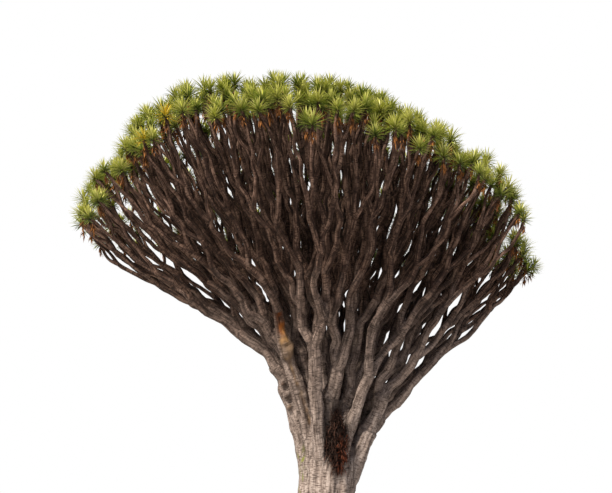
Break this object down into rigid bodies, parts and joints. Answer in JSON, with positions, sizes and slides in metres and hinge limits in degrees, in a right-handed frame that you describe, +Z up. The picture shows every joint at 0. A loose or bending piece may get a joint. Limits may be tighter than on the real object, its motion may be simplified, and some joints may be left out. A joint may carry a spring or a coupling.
{
  "type": "dragon tree",
  "caption": "Mature dragon tree with a stout fluted trunk, a fan of forking boughs and an umbrella-shaped crown of sword-leaf rosettes.",
  "frame": {"origin": "on the trunk's axis in the flat cut at ground level", "axes": "+Z up, +X to the viewer's right, +Y away from the viewer"},
  "size_m": [9.9479, 8.8188, 9.9447],
  "materials": {
    "trunk_bark": "rough weathered bark",
    "limb_bark": "rough ringed bark",
    "foliage": "smooth leathery leaves",
    "dry_litter": "matt dead fibres"
  },
  "bodies": {
    "root": {"trunk": "trunk_bark", "outer_bough_1": "limb_bark", "outer_bough_2": "limb_bark", "outer_bough_3": "limb_bark", "outer_bough_4": "limb_bark", "outer_bough_5": "limb_bark", "outer_bough_6": "limb_bark", "outer_bough_7": "limb_bark", "outer_bough_8": "limb_bark", "outer_bough_9": "limb_bark", "inner_bough_1": "limb_bark", "inner_bough_2": "limb_bark", "inner_bough_3": "limb_bark", "inner_bough_4": "limb_bark", "inner_bough_5": "limb_bark", "outer_foliage_1": "foliage", "outer_foliage_2": "foliage", "outer_foliage_3": "foliage", "outer_foliage_4": "foliage", "outer_foliage_5": "foliage", "outer_foliage_6": "foliage", "outer_foliage_7": "foliage", "outer_foliage_8": "foliage", "outer_foliage_9": "foliage", "inner_foliage_1": "foliage", "inner_foliage_2": "foliage", "inner_foliage_3": "foliage", "inner_foliage_4": "foliage", "inner_foliage_5": "foliage", "cleft_litter": "dry_litter"}
  },
  "joints": []
}
